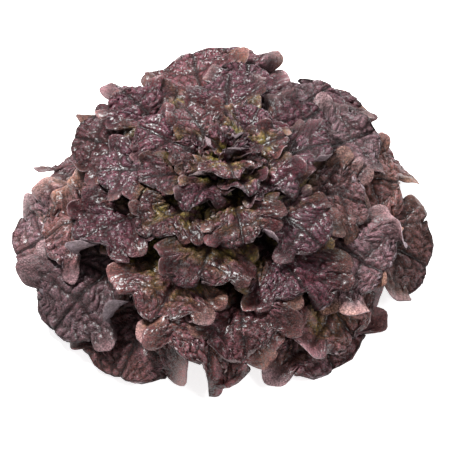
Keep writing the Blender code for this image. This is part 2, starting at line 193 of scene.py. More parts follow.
# %% [markdown]
# ## The plan of one leaf
# No two leaves are alike. Each gets its own sizes from its place in the spiral, with a little
# chance in them. The sizes could be listed by hand, leaf by leaf, but a rule and chance drawn in
# the same order as for the solids bring each leaf out in its solid's place.

# %% One leaf's sizes, as for its solid
BOW = (math.radians(22), math.radians(38))
MORE_BOW = math.radians(45)  # of the young fine leaves
YOUNG_AGE = 0.55
STEEPEST_RISE = math.radians(80)
HALF_WIDTH = (0.014, 0.056)
RUFFLE = (0.003, 0.009)
RIB_THICKNESS = (0.0011, 0.0024)
TIP_CHANCE = 0.05  # share of the tip's distance, more or less
HEIGHT_CHANCE = 0.10
BOW_CHANCE = math.radians(6)
BEARING_CHANCE = 0.08
WIDTH_CHANCE = 0.004
MOST_CURL = 0.0045
MOST_LEAN = 0.012
MOST_TWIST = math.radians(16)
MOST_TIP_CURL = 0.008
MOST_LOBES = 4


def solid_plan(index):
    """The sizes of one leaf by its place in the spiral, 0 the oldest: the tip's distance falls
    with its place counted from the middle, and its height follows the dome."""
    draw = np.random.default_rng([SEED, index])
    spread = min(max(ALL_LEAVES - index, 1) / (ALL_LEAVES - RIM_LEAVES), 1.0) ** CROWDING
    tip_radius = HEAD_RADIUS * spread * (1 + TIP_CHANCE * draw.uniform(-1, 1))
    tip_height = between((HEART_HEIGHT, RIM_HEIGHT), spread ** DOME_POWER)
    tip_height = tip_height * (1 + HEIGHT_CHANCE * draw.uniform(-1, 1))
    age = max(1.0 - index / (ALL_LEAVES - 1), 0.0)
    root_radius, root_height, lobes = leaf_root(min(index, ALL_LEAVES - 1))
    chord = math.hypot(tip_radius - root_radius, tip_height - root_height)
    slope = math.atan2(tip_height - root_height, tip_radius - root_radius)
    bow = between(BOW, age) + BOW_CHANCE * draw.uniform(-1, 1)
    bow = bow + MORE_BOW * max(YOUNG_AGE - age, 0.0)
    return {
        "index": index, "age": age, "lobes": lobes,
        "bearing": leaf_bearing(index) + BEARING_CHANCE * draw.uniform(-1, 1),
        "root_height": root_height, "root_radius": root_radius,
        "length": chord * bow / math.sin(bow),
        "rise": min(slope + bow, STEEPEST_RISE), "droop": slope - bow,
        "half_width": between(HALF_WIDTH, age ** 0.8) + WIDTH_CHANCE * draw.uniform(-1, 1),
        "root_width": 0.7 * max(root_radius, 0.004),
        "rib": between(RIB_THICKNESS, age),
        "cup": draw.uniform(0.5, 1.0) / tip_radius,
        "ruffle": between(RUFFLE, age) * draw.uniform(0.7, 1.2),
        "ruffle_turn": draw.uniform(0, 2 * math.pi, 2),
        "curl": MOST_CURL * draw.uniform(-1, 1, (2, MOST_LOBES)),
        "solid_lobe_size": draw.uniform(0.86, 1.08, (2, MOST_LOBES)),  # keeps chance in step
        "sweep": draw.uniform(0.25, 0.60, 2),
        "lean": MOST_LEAN * draw.uniform(-1, 1),
        "twist": MOST_TWIST * draw.uniform(-1, 1),
        "tip_curl": MOST_TIP_CURL * draw.uniform(-1, 1) * age,
    }


print("oldest solid leaf:", round(solid_plan(0)["length"], 3), "m along its midrib")

# %% [markdown]
# ## The youngest leaves
# The youngest leaves of a head are short and steep, and bend over its middle to close it. They
# could be pinched out of the leaves below, but that would pinch the blisters as well, so they
# are a few more leaves of the same kind, which the solid heart leaves out.

# %% Leaves that close over the middle
BUD_CHORD = (0.037, 0.030)
BUD_SLOPE = (math.radians(48), math.radians(84))
BUD_BOW = math.radians(52)
BUD_HALF_WIDTH = (0.026, 0.022)
BUD_CUP = 10.0  # turn for each metre across
BUD_ROOT = 0.75  # share of the core's height
BUD_ROOT_RADIUS = 0.0012


def bud_sizes(index, draw):
    """Sizes of one of the youngest leaves, from the outermost to the one in the middle."""
    place = (index - ALL_LEAVES) / (BUD_LEAVES - 1)
    chord = between(BUD_CHORD, place) * draw.uniform(0.9, 1.1)
    slope = between(BUD_SLOPE, place) + 0.1 * draw.uniform(-1, 1)
    bow = BUD_BOW + math.radians(8) * draw.uniform(-1, 1)
    return {"root_height": STEM_HEIGHT + CORE_HEIGHT * BUD_ROOT, "root_radius": BUD_ROOT_RADIUS,
            "length": chord * bow / math.sin(bow), "rise": slope + bow, "droop": slope - bow,
            "half_width": between(BUD_HALF_WIDTH, place), "cup": BUD_CUP, "lobes": 2}


print("closing leaves:", BUD_LEAVES)

# %% [markdown]
# ## What chance can't give
# Chance makes a head of the right kind, but not the one in the photograph. With the render beside
# the photograph, some leaves are therefore turned, made longer or shorter, rolled more, or made
# greener towards the root. A few lobes curl right over and show the pale lower face, and some
# leaves are greyer or browner than the rest. Another seed could be tried for each head instead,
# but it would change every leaf at once. The numbers are the solids' own, 1 for the oldest leaf.

# %% Changes listed leaf by leaf
BY_EYE = {  # degrees turned, length, green, roll
    1: (-3, 0.83, 0, 30), 2: (-1, 0.94, 0.6, 0), 4: (9, 0.94, 0, 0), 5: (-4, 1.0, 0, 0),
    7: (-3, 1.0, 0.3, 15), 9: (0, 1.0, 0.4, 10), 10: (7, 0.84, 1.0, 0), 11: (6, 0.96, 0, -10),
    12: (-6, 1.10, 0, 15), 13: (0, 0.95, 0, 0), 14: (-6, 0.87, 0, 30), 16: (4, 0.98, 0, 0),
    19: (-2, 1.08, 0, 10), 20: (0, 1.0, 0.5, 0), 22: (0, 1.08, 0, 10), 27: (4, 1.10, 0, 0),
    28: (0, 1.0, 0.5, 0), 33: (0, 1.0, 0.6, 0), 36: (0, 1.0, 0.4, 0),
}
UNCHANGED = (0, 1.0, 0, 0)
CURLED_LOBES = {  # side, and lobe counted from the stalk
    12: (1, 2), 13: (0, 3), 17: (1, 2), 18: (1, 3), 20: (1, 1), 22: (1, 3), 25: (0, 3),
    31: (0, 2), 34: (0, 3),
}
CURL = math.radians(125)
GREY_LEAVES = (9, 12, 13, 17, 18, 21, 26)
BROWN_LEAVES = (7, 14, 15, 19, 22, 28, 33)
print("changed by eye:", len(BY_EYE), "leaves, curled lobes:", len(CURLED_LOBES))

# %% [markdown]
# ## The fine leaf's own sizes
# A real lobe rolls, tilts and bulges on its own, and its margin waves. None of that is in the
# solids. It could be sculpted, but a few numbers for each lobe, drawn from a second run of
# chance, leave the first run and so the leaves' places as they are.

# %% One leaf's plan
MEAN_ROLL = math.radians(-28)  # of a lobe's edge, down
MOST_ROLL = (math.radians(-40), math.radians(100))  # on top of that
TILT_RANGE = (-0.20, 0.35)  # slope of a lobe across its own vein
END_LOBE_SHARE = 0.1  # of roll and tilt that the end lobe keeps
FINE_LOBES = (4.5, 3.5)  # a side: separate leaves, and the heart's
SPOON_DEPTH = (0.003, 0.006)  # young and old, like the pairs below
FRILL_STEEPNESS = (0.36, 0.20)
BLOOM_RANGE = (0.1, 1.0)
TONE_RANGE = (1.02, 1.13)
BROWN_TINT = 0.95
BROWN_BLOOM = 0.4
FIRST_GREEN_HEART_LEAF = 38
HEART_GREEN = 0.9


def leaf_plan(index):
    """A solid leaf's sizes, the listed changes, and what each fine lobe has: size, roll, tilt,
    spoon, tint, bloom and tone. Roll grows with the cube of chance, so few lobes roll far."""
    plan = solid_plan(index)
    fine = np.random.default_rng([SEED + 1, index])
    if index >= ALL_LEAVES:
        plan.update(bud_sizes(index, fine))
    age = plan["age"]
    turn, longer, greener, rolled = BY_EYE.get(index + 1, UNCHANGED)
    plan["bearing"] += math.radians(turn)
    plan["length"] *= longer
    plan["fine_lobes"] = FINE_LOBES[int(index >= ALL_LEAVES - HEART_LEAVES)]
    each_lobe = (2, MOST_LOBES + 1)
    plan["fine_size"] = fine.uniform(0.80, 1.12, each_lobe)
    chance = fine.uniform(-1, 1, each_lobe)
    most = np.where(chance > 0, MOST_ROLL[1], MOST_ROLL[0]) * between((0.4, 1.0), age)
    plan["roll"] = MEAN_ROLL + math.radians(rolled) + most * np.abs(chance) ** 3
    plan["tilt"] = fine.uniform(*TILT_RANGE, each_lobe)
    for end in ("roll", "tilt"):
        plan[end][:, int(plan["fine_lobes"])] *= END_LOBE_SHARE
    if index + 1 in CURLED_LOBES:
        plan["roll"][CURLED_LOBES[index + 1]] = CURL
    plan["spoon"] = fine.uniform(-0.4, 1, each_lobe) * between(SPOON_DEPTH, age)
    plan["frill"] = between(FRILL_STEEPNESS, age) * fine.uniform(0.6, 1.2, 2)
    plan["lobe_tint"] = fine.uniform(-1, 1, each_lobe)
    plan["bloom"] = between(BLOOM_RANGE, ease((age - 0.42) / 0.5)) * fine.uniform(0.5, 1)
    plan["blistered"] = fine.uniform(0.5, 1.0)
    plan["frill_turn"] = fine.uniform(0, 2 * math.pi, 2)
    plan["scallop_turn"] = fine.uniform(0, math.pi, 2)
    plan["tint"] = fine.uniform(0, 1)
    plan["tone"] = fine.uniform(0.75, 1.40) * between(TONE_RANGE, age)
    if index + 1 in GREY_LEAVES:
        plan["bloom"] = 1.0
    if index + 1 in BROWN_LEAVES:
        plan["tint"], plan["bloom"] = BROWN_TINT, plan["bloom"] * BROWN_BLOOM
    green_heart = index >= FIRST_GREEN_HEART_LEAF and fine.uniform() > 0.7
    plan["greening"] = HEART_GREEN if green_heart else greener
    plan["lobe_bloom"] = fine.uniform(0, 1, each_lobe) ** 2
    plan["lobe_tone"] = fine.uniform(-1, 1, each_lobe)
    return plan


plans = [leaf_plan(index) for index in range(ALL_LEAVES + BUD_LEAVES)]
print("longest leaf:", round(max(p["length"] for p in plans), 3), "m")

# %% [markdown]
# ## The blade
# An oak leaf lettuce's blade is a narrow stalk that widens into rounded lobes with tight notches
# between them. Its edge grows faster than its middle, and has to wave to find room. A height
# added to a flat sheet would stretch it, so here the blade is turned, not lifted: from the
# midrib outwards each strip adds its own small turn, which keeps its true width.

# %% Outline of the blade
WIDENS_FROM = 0.04
NARROWS_FROM = 0.20
LOBES_START = 0.34
WIDEST = 0.68
END_NARROWING = (0.50, 0.20)
LOBE_DEPTH = 0.44
SCALLOPS_PER_LOBE = 3
SCALLOP_DEPTH = 0.035


def lobe_phase(u, lobes):
    """Lobes counted from the first notch up to share u of the length, the lobe there, and how
    far along that lobe u lies, 0 to 1. A fine leaf ends halfway through its last lobe, which
    the two sides share."""
    phase = np.clip((u - LOBES_START) / (1 - LOBES_START), 0.0, 1.0) * lobes
    which = np.minimum(phase.astype(int), math.ceil(lobes) - 1)
    return phase, which, phase - which


def broad_width(plan, u):
    """Half width without lobes: a smooth step from stalk to broad end, which then narrows."""
    widened = ease((u - WIDENS_FROM) / (WIDEST - WIDENS_FROM))
    broad = between((plan["root_width"], plan["half_width"]), widened)
    closing = np.clip((u - WIDEST) / (1 - WIDEST), 0.0, 1.0)
    return broad * (1.0 - between(END_NARROWING, plan["age"]) * closing ** 2)


def half_width(plan, u, side):
    """Half width at share u of the length: the broad width, times the lobes
    |sin(pi phase)|^0.8, times small scallops, cos^2(3 pi phase), on the lobes."""
    phase, which, _ = lobe_phase(u, plan["fine_lobes"])
    bump = np.abs(np.sin(math.pi * phase)) ** 0.8
    lobed = 1.0 - LOBE_DEPTH * (1.0 - bump * plan["fine_size"][side][which])
    turn = SCALLOPS_PER_LOBE * math.pi * phase + plan["scallop_turn"][side]
    lobed = lobed * (1.0 - SCALLOP_DEPTH * np.cos(turn) ** 2 * bump)
    plain = 1.0 - LOBE_DEPTH * ease((u - NARROWS_FROM) / (LOBES_START - NARROWS_FROM))
    end_from = 1.0 - 0.65 * (1.0 - LOBES_START) / plan["fine_lobes"]
    round_end = np.sqrt(np.clip(1.0 - ((u - end_from) / (1.0 - end_from)) ** 2, 0.015, 1.0))
    lobed = lobed * np.where(u > end_from, round_end, 1.0)
    return broad_width(plan, u) * np.where(u < LOBES_START, plain, lobed)


widths = half_width(plans[0], np.linspace(0, 1, 101), 0)
print("oldest leaf, half width:", round(float(widths.max()), 3), "m")


# %% The midrib
def midrib(plan, along):
    """Radius, height and slope along the midrib, its slope easing evenly from rise to droop."""
    steps = np.linspace(0.0, 1.5 * plan["length"], 151)
    slope = plan["rise"] + (plan["droop"] - plan["rise"]) * steps / plan["length"]
    middle, stride = (slope[1:] + slope[:-1]) / 2, steps[1] - steps[0]
    radius = plan["root_radius"] + stride * np.concatenate([[0.0], np.cumsum(np.cos(middle))])
    height = plan["root_height"] + stride * np.concatenate([[0.0], np.cumsum(np.sin(middle))])
    return (np.interp(along, steps, radius), np.interp(along, steps, height),
            np.interp(along, steps, slope))


tip = midrib(plans[0], plans[0]["length"])
print("oldest leaf, tip's radius and height:", [round(float(x), 3) for x in tip[:2]])

# %% The blade's cross-section
LOBE_SPREAD = 1.45  # a lobe's width to its share of the edge
RUFFLE_SLOPE = 1.5  # of the long waves, to their height


def flap(plan, u, across):
    """How far into a lobe a point is: 0 as far out as the notches reach, 1 at the broad edge."""
    share = np.abs(across) / broad_width(plan, u)
    reach = np.clip((share - (1 - LOBE_DEPTH)) / LOBE_DEPTH, 0.0, 1.2)
    return np.where(u < LOBES_START, 0.0, reach)


def cross_section(plan, u, side, steps):
    """Sideways reach, lift and arc length of one half of the blade, rows u by steps outwards.

    Reach and lift are running sums of cos and sin of the blade's turn. The turn is the cup
    (arc length over the head's radius), plus the ruffle's and the curl's slope, plus each
    lobe's roll and a frill of 1.2 to 1.7 waves a lobe, which both grow over the lobe.
    """
    half = half_width(plan, u, side)[:, None]
    broad = broad_width(plan, u)[:, None]
    out = half * ((np.arange(steps) + 0.5) / steps)[None, :]
    share = out / broad
    plain_phase, plain_lobe, _ = lobe_phase(u, plan["lobes"])
    phase, which, place = lobe_phase(u, plan["fine_lobes"])
    begun = ease(u / LOBES_START)[:, None]
    arch = np.abs(np.sin(math.pi * plain_phase))[:, None]
    wave = np.sin(math.pi * plain_phase + plan["ruffle_turn"][side])[:, None]
    waves = between((1.7, 1.2), plan["age"]) * 2 * math.pi * phase
    frill = np.sin(waves + plan["frill_turn"][side])[:, None]
    turn = out * plan["cup"]
    turn = turn + begun * RUFFLE_SLOPE * plan["ruffle"] * wave * np.sqrt(share) / broad
    turn = turn + plan["curl"][side, plain_lobe][:, None] * 4 * share ** 3 * arch / broad
    turn = turn + plan["roll"][side, which][:, None] * flap(plan, u[:, None], out)
    turn = turn + plan["frill"][side] * frill * ease((share - 0.35) / 0.65) * begun
    zero = np.zeros((len(u), 1))
    reach = np.concatenate([zero, np.cumsum(np.cos(turn), 1)], 1) * half / steps
    lift = np.concatenate([zero, np.cumsum(np.sin(turn), 1)], 1) * half / steps
    across = half * np.linspace(0, 1, steps + 1)[None, :]
    into = flap(plan, u[:, None], across)
    lobe_length = plan["length"] * (1 - LOBES_START) / plan["fine_lobes"]
    lift = lift + plan["tilt"][side, which][:, None] * (place - 0.5)[:, None] * lobe_length * into
    domed = (1 - (2 * place - 1) ** 2)[:, None] * into
    lift = lift + plan["spoon"][side, which][:, None] * domed
    round_out = (-LOBE_SPREAD * np.cos(math.pi * place) / 2 - (place - 0.5)) * lobe_length
    round_out = round_out[:, None] * into
    ahead_of_vein = (place - 0.5)[:, None] * lobe_length + round_out
    reach = reach - ahead_of_vein * np.sin(math.atan(plan["sweep"][side]) * into)
    return reach, lift, across, round_out


reach = cross_section(plans[0], np.linspace(0, 1, 50), 0, 20)[0]
print("oldest leaf, reach to one side:", round(float(reach.max()), 3), "m")

# %% The whole blade
TIP_BULGE = 0.10
TIP_BULGE_FROM = 0.72


def blade(plan, spacing):
    """Points of the upper face on a grid, with the shares u, v and the metres across."""
    rows = max(round(plan["length"] * 1.1 / spacing), 30)
    steps = max(round(plan["half_width"] / spacing), 9)
    u = np.linspace(0.0, 1.0, rows + 1)
    left, right = (cross_section(plan, u, side, steps) for side in (0, 1))
    sideways = np.concatenate([-left[0][:, :0:-1], right[0]], 1)
    lift, across, fan = (np.concatenate([sign * left[n][:, :0:-1], right[n]], 1)
                         for n, sign in ((1, 1), (2, -1), (3, 1)))
    v = np.linspace(-1, 1, 2 * steps + 1)[None, :]
    u = u[:, None]
    sweep = np.where(v > 0, plan["sweep"][1], plan["sweep"][0])
    ending = ease((u - TIP_BULGE_FROM) / (1 - TIP_BULGE_FROM))
    end_share = np.minimum(np.abs(across) / (0.5 * plan["half_width"]), 1.0)
    along = plan["length"] * (u * (1 - TIP_BULGE) + TIP_BULGE * (1 - end_share ** 2) * ending)
    along = along + sweep * np.abs(across) * ease(u / LOBES_START) + fan
    radius, height, slope = midrib(plan, along)
    lift = lift + plan["tip_curl"] * ending
    twist = plan["twist"] * u
    out_of_face = lift * np.cos(twist) + sideways * np.sin(twist)
    sideways = sideways * np.cos(twist) - lift * np.sin(twist) + plan["lean"] * u ** 2
    radius = radius - out_of_face * np.sin(slope)
    height = height + out_of_face * np.cos(slope)
    ahead = (math.cos(plan["bearing"]), math.sin(plan["bearing"]))
    points = np.stack([radius * ahead[0] - sideways * ahead[1],
                       radius * ahead[1] + sideways * ahead[0], height], axis=-1)
    return {"points": points, "u": u + 0 * v, "v": v + 0 * u, "across": across, "along": along}


SAMPLE_SPACING = 0.002
sample = blade(plans[0], SAMPLE_SPACING)
print("sample blade, points along and across:", sample["u"].shape)

# %% [markdown]
# ## Laying leaf on leaf
# Leaves grow one inside the other and press together, but don't cut through each other. A cloth
# simulation of some fifty leaves would take far too long. Instead a map keeps, for each distance
# and bearing from the origin, the steepest elevation that the leaves laid so far have taken. The
# next leaf swings up along circles of equal distance until both of its faces clear the map.

# %% Polar map of what has been laid
FLOOR_GAP = 0.0010
MAP_STEP = 0.00125
MAP_ROWS = 152
MAP_BEARINGS = 720


def polar(points):
    """Distance from the origin, bearing and elevation of points in space."""
    distance = np.linalg.norm(points, axis=-1)
    bearing = np.arctan2(points[..., 1], points[..., 0]) % (2 * math.pi)
    return distance, bearing, np.arcsin(np.clip(points[..., 2] / distance, -1, 1))


def from_polar(distance, bearing, elevation):
    """Points in space at a distance, bearing and elevation."""
    flat = distance * np.cos(elevation)
    return np.stack([flat * np.cos(bearing), flat * np.sin(bearing),
                     distance * np.sin(elevation)], axis=-1)


def normals(points):
    """Unit normals of a grid: the cross product of its two tangents, by differences."""
    facing = np.cross(np.gradient(points, axis=0), np.gradient(points, axis=1))
    return facing / np.maximum(np.linalg.norm(facing, axis=-1, keepdims=True), 1e-12)


def map_cells(distance, bearing):
    """Row and column of the map for each distance and bearing."""
    row = np.clip((distance / MAP_STEP).astype(int), 0, MAP_ROWS - 1)
    return row, (bearing / (2 * math.pi) * MAP_BEARINGS).astype(int) % MAP_BEARINGS


row_distances = (np.arange(MAP_ROWS) + 0.5) * MAP_STEP
floor_elevation = np.arcsin(np.clip(FLOOR_GAP / row_distances, 0, 1))
taken = np.repeat(floor_elevation[:, None], MAP_BEARINGS, axis=1)
print("map:", taken.shape)


# %% Raise the map where a leaf lies
NOTHING_YET = -9.0
MAP_SPREAD = 0.0009
MOST_COLUMNS = 9


def doubled(grid):
    """The grid with a new point halfway between each two neighbours."""
    for axis in (0, 1):
        first, last = np.moveaxis(grid, axis, 0)[:-1], np.moveaxis(grid, axis, 0)[1:]
        woven = np.stack([first, (first + last) / 2], 1).reshape(-1, *first.shape[1:])
        grid = np.moveaxis(np.concatenate([woven, last[-1:]]), 0, axis)
    return grid


def raise_map(taken, faces):
    """Marks a leaf's faces on the map, fills pinholes, and widens it by the room beside it."""
    leaf = np.full(taken.shape, NOTHING_YET)
    for face in faces:
        distance, bearing, elevation = polar(doubled(face).reshape(-1, 3))
        np.maximum.at(leaf, map_cells(distance, bearing), elevation)
    for _ in range(2):
        around = [np.roll(leaf, shift, axis) for axis in (0, 1) for shift in (-1, 1)]
        leaf = np.where(leaf == NOTHING_YET, np.maximum.reduce(around), leaf)
    tall = np.maximum(leaf, np.maximum(np.roll(leaf, 1, 0), np.roll(leaf, -1, 0)))
    wide = tall.copy()
    cell = row_distances * 2 * math.pi / MAP_BEARINGS
    for shift in range(1, MOST_COLUMNS):
        near = (shift - 0.5) * cell < MAP_SPREAD
        for way in (-shift, shift):
            wide[near] = np.maximum(wide[near], np.roll(tall, way, 1)[near])
    return np.maximum(taken, wide)


marked = raise_map(taken, [sample["points"]]) > taken
print("map cells under the sample blade:", int(marked.sum()))

# %% Lift a leaf off the map
CLEARANCE = 0.0004
LAYING_PASSES = 14
GOOD_ENOUGH = 1e-4
STEEPEST_LAID = math.radians(89)
LIFT_SLOPE = 0.60
SPREAD_STEPS = 26
BLUR_STEPS = 6
HELD_LENGTH = 0.012  # of the stalk, which stays on the stem


def spread_out(lift, spacing):
    """A lift whose neighbours take part: it falls off evenly with distance, then is blurred.
    The first rows take no part: they stay on the stem."""
    need = lift
    for _ in range(SPREAD_STEPS):
        padded = np.pad(lift, 1, mode="edge") - LIFT_SLOPE * spacing
        lift = np.maximum.reduce([lift, padded[2:, 1:-1], padded[:-2, 1:-1],
                                  padded[1:-1, 2:], padded[1:-1, :-2]])
    for _ in range(BLUR_STEPS):
        padded = np.pad(lift, 1, mode="edge")
        lift = (padded[2:, 1:-1] + padded[:-2, 1:-1] + padded[1:-1, 2:]
                + padded[1:-1, :-2]) / 4
    hold = ease(np.arange(lift.shape[0]) * spacing / HELD_LENGTH)[:, None]
    return np.maximum(need, lift * hold)


def lay_on(taken, points, thickness, spacing):
    """Lifts a leaf along circles of equal distance until both faces clear the map."""
    distance, bearing, elevation = polar(points)
    for _ in range(LAYING_PASSES):
        placed = from_polar(distance, bearing, elevation)
        need = np.zeros(distance.shape)
        for face in (placed, placed - normals(placed) * thickness[..., None]):
            q, b, e = polar(face)
            need = np.maximum(need, taken[map_cells(q, b)] * q + CLEARANCE - e * q)
        if need.max() < GOOD_ENOUGH:
            break
        elevation = np.minimum(elevation + spread_out(need, spacing) / distance, STEEPEST_LAID)
    return from_polar(distance, bearing, elevation)


lifted = lay_on(taken, sample["points"], 0 * sample["u"], SAMPLE_SPACING) - sample["points"]
print("the floor moves the sample blade by up to", round(float(np.abs(lifted).max()), 4), "m")

# %% Lay all the leaves, oldest first
SPACINGS = (0.0010, 0.0014)  # of the grid, young and old
BLADE_THICKNESS = 0.0004


def rib_thickness(plan, u, v):
    """Thickness: thin at the edge, swelling to the fleshy midrib towards the root."""
    swell = np.exp(-(v / 0.28) ** 2) * (1 - ease(u / 0.75))
    return between((BLADE_THICKNESS, plan["rib"]), swell)


leaves = []
for plan in plans:
    spacing = between(SPACINGS, plan["age"])
    leaf = blade(plan, spacing)
    leaf["thickness"] = rib_thickness(plan, leaf["u"], leaf["v"])
    leaf["points"] = lay_on(taken, leaf["points"], leaf["thickness"], spacing)
    under = leaf["points"] - normals(leaf["points"]) * leaf["thickness"][..., None]
    taken = raise_map(taken, (leaf["points"], under))
    leaves.append(leaf)
print("grid points:", sum(leaf["u"].size for leaf in leaves),
      "top:", round(max(leaf["points"][..., 2].max() for leaf in leaves), 4))

# %% [markdown]
# ## Blisters
# Between its veins the blade bulges into small domes, because the green tissue grows more than
# the veins do. The creases between the domes are the finer veins. Noise gives soft hills, but
# no creases. Cell noise does: for points scattered at random, the distance to the second
# nearest less that to the nearest is 0 on a crease and largest in the middle of a cell.

# %% Domes between the veins
VEIN_WIDTH = 0.0011
FINER_VEIN_WIDTH = 0.0008
DOME_EDGE = 0.75  # gap from the crease at which a dome is level


def scattered(column, row, salt):
    """Chance numbers 0 to 1 from whole numbers: the fractional part of a large sine."""
    return np.modf(np.abs(np.sin(column * 127.1 + row * 311.7 + salt * 74.7) * 43758.5453))[0]


def cell_domes(x, y, salt):
    """Second nearest less nearest distance to one scattered point in each unit square."""
    column, row = np.floor(x), np.floor(y)
    nearest = np.full(x.shape, 9.0)
    second = nearest.copy()
    for step in np.ndindex(3, 3):
        c, r = column + step[0] - 1, row + step[1] - 1
        gap = np.hypot(c + 0.1 + 0.8 * scattered(c, r, salt) - x,
                       r + 0.1 + 0.8 * scattered(c, r, salt + 0.5) - y)
        second = np.minimum(second, np.maximum(nearest, gap))
        nearest = np.minimum(nearest, gap)
    return second - nearest


def rounded(gap):
    """A dome's height over the gap from its crease: 1 - (1 - x)^2, steep first, then level."""
    return 1.0 - (1.0 - np.clip(gap / DOME_EDGE, 0.0, 1.0)) ** 2


def side_veins(plan, u, edge):
    """Ridge mask of the veins to the lobes: one along the middle of each lobe, and two finer
    ones beside it that leave it farther out."""
    _, _, place = lobe_phase(u, plan["fine_lobes"])
    lobe_length = plan["length"] * (1 - LOBES_START) / plan["fine_lobes"]
    main = np.exp(-((place - 0.5) * lobe_length / VEIN_WIDTH) ** 2)
    fork = np.abs(np.abs(place - 0.5) - 0.30 * np.clip(edge - 0.25, 0, 1) / 0.75)
    finer = np.exp(-(fork * lobe_length / FINER_VEIN_WIDTH) ** 2) * ease((edge - 0.25) / 0.2)
    return np.where(u > LOBES_START, np.maximum(main, 0.6 * finer), 0.0)


domes = rounded(cell_domes(*np.meshgrid(np.linspace(0, 5, 60), np.linspace(0, 5, 60)), 0))
print("mean height of the domes:", round(float(domes.mean()), 2), "of the highest")

# %% Crinkle each leaf
BLISTER_SIZE = (0.0046, 0.0066)
BLISTER_HEIGHT = (0.0019, 0.0029)
SMALL_DOMES = 0.4  # height to the large domes'
SMOOTH_EDGE = 0.003
SMOOTH_LOBE = (0.6, 0.85)
RIB_WIDTH = 0.0012
RIB_WIDENING = 0.004


def crinkle(plan, leaf):
    """Domes and veins of a leaf, and its upper face moved out by the domes, which shrink
    towards the edge, the root and the lobes' ends. It also keeps where the lobes are."""
    edge = np.abs(leaf["v"])
    size = between(BLISTER_SIZE, plan["age"])
    x = leaf["across"] / size
    y = (leaf["along"] - 0.5 * np.abs(leaf["across"])) / (size * 1.25)
    wobble = 0.35 * np.sin(1.3 * x + 2.1 * y + plan["index"]), 0.35 * np.sin(1.9 * x - 1.2 * y)
    domes = rounded(cell_domes(x + wobble[0], y + wobble[1], plan["index"]))
    small = rounded(cell_domes(2.3 * x + wobble[1], 2.3 * y + wobble[0], plan["index"] + 9))
    veins = side_veins(plan, leaf["u"], edge)
    half = np.abs(leaf["across"]).max(axis=1, keepdims=True)
    leaf["to_edge"] = half * (1 - edge)
    inside = ease(leaf["to_edge"] / SMOOTH_EDGE) * ease((leaf["u"] - 0.12) / 0.2)
    leaf["rib"] = np.exp(-(leaf["across"] / (RIB_WIDTH + RIB_WIDENING * (1 - leaf["u"]))) ** 2)
    height = (domes + SMALL_DOMES * small) * (1 - 0.8 * veins) * (1 - leaf["rib"]) * inside
    leaf["into_lobe"] = ease(flap(plan, leaf["u"], leaf["across"]))
    height = height * (1 - between(SMOOTH_LOBE, plan["age"]) * leaf["into_lobe"])
    out = between(BLISTER_HEIGHT, plan["age"]) * plan["blistered"] * height
    leaf["points"] = leaf["points"] + normals(leaf["points"]) * out[..., None]
    # The dome mask later paints a highlight on the dome tops and paints shade in the creases.
    leaf["dome"] = np.maximum(height, between((0.6, 0.95), plan["age"]) * leaf["into_lobe"])
    leaf["vein"] = veins * ease(leaf["u"] / 0.4)
    return leaf


leaves = [crinkle(plan, leaf) for plan, leaf in zip(plans, leaves)]
print("highest dome:", round(max(float(leaf["dome"].max()) for leaf in leaves), 2))

# %% [markdown]
# ## Masks
# A head has many reds, because each lobe has its own share of sun, of pigment and of bloom, the
# grey waxy film that rubs off. An image could be painted on each leaf, but a few masks say the
# same, from the leaf's own sizes: where the rib and the margin are, how much bloom there is, how
# brown and how light it is. How light it is holds painted light and shade too: darker towards
# each leaf's base, where the younger leaves cover it, and lighter on the lobes.

# %% Masks of the colours on a leaf
MARGIN_WIDTH = 0.0009
LEAF_BLOOM = (0.28, 0.50)  # share of it that base and lobes have
LOBE_BLOOM = (0.25, 0.80)  # more for a lobe of a young, an old leaf
LEAF_TINT = 0.8
LOBE_TINT = 0.45
RIB_COLOUR = (0.15, 0.8)
# Painted shade: a leaf darkens towards its base, where the younger leaves cover it.
BASE_PAINTED_SHADE = (0.42, 0.86)
LOBE_PAINTED_LIGHT_AND_TONE = (0.28, 0.38)  # painted light on the lobes, and more or less by chance


def colour_masks(plan, leaf):
    """Rib, margin, bloom, tint (0 purple to 1 brown), tone and green of a leaf. The tone is how
    light it is: random, with painted shade towards the base and painted light on the lobes.
    """
    age, u, into_lobe = plan["age"], leaf["u"], leaf["into_lobe"]
    leaf["rib"] = leaf["rib"] * (1 - ease((u - 0.45) / 0.5)) * between(RIB_COLOUR, age)
    leaf["margin"] = np.exp(-leaf["to_edge"] / MARGIN_WIDTH)
    side = (leaf["v"] > 0).astype(int)
    which = lobe_phase(u, plan["fine_lobes"])[1]
    own = {name: plan[name][side, which] for name in ("lobe_tint", "lobe_bloom", "lobe_tone")}
    most = plan["bloom"] * LEAF_BLOOM[1] + between(LOBE_BLOOM, age) * own["lobe_bloom"]
    leaf["bloom"] = np.minimum(between((plan["bloom"] * LEAF_BLOOM[0], most), into_lobe), 1.0)
    leaf["tint"] = plan["tint"] * LEAF_TINT + LOBE_TINT * own["lobe_tint"] * into_lobe
    # Painted shade towards the base; painted light on the lobes, with each lobe's random tone.
    painted_base_shade = between(BASE_PAINTED_SHADE, ease((u - 0.35) / 0.4))
    lighter = (LOBE_PAINTED_LIGHT_AND_TONE[0] + LOBE_PAINTED_LIGHT_AND_TONE[1] * own["lobe_tone"]) * into_lobe
    leaf["tone"] = plan["tone"] * (painted_base_shade + lighter)
    green = ease((0.75 - u) / 0.35) * (1 - 0.6 * leaf["bloom"])
    middle = 1 - ease((np.abs(leaf["v"]) - 0.35) / 0.5)
    leaf["green"] = np.maximum(green, plan["greening"] * ease((1.0 - u) / 0.4) * middle)
    return leaf


leaves = [colour_masks(plan, leaf) for plan, leaf in zip(plans, leaves)]
print("mean bloom:", round(float(np.mean([leaf["bloom"].mean() for leaf in leaves])), 2))

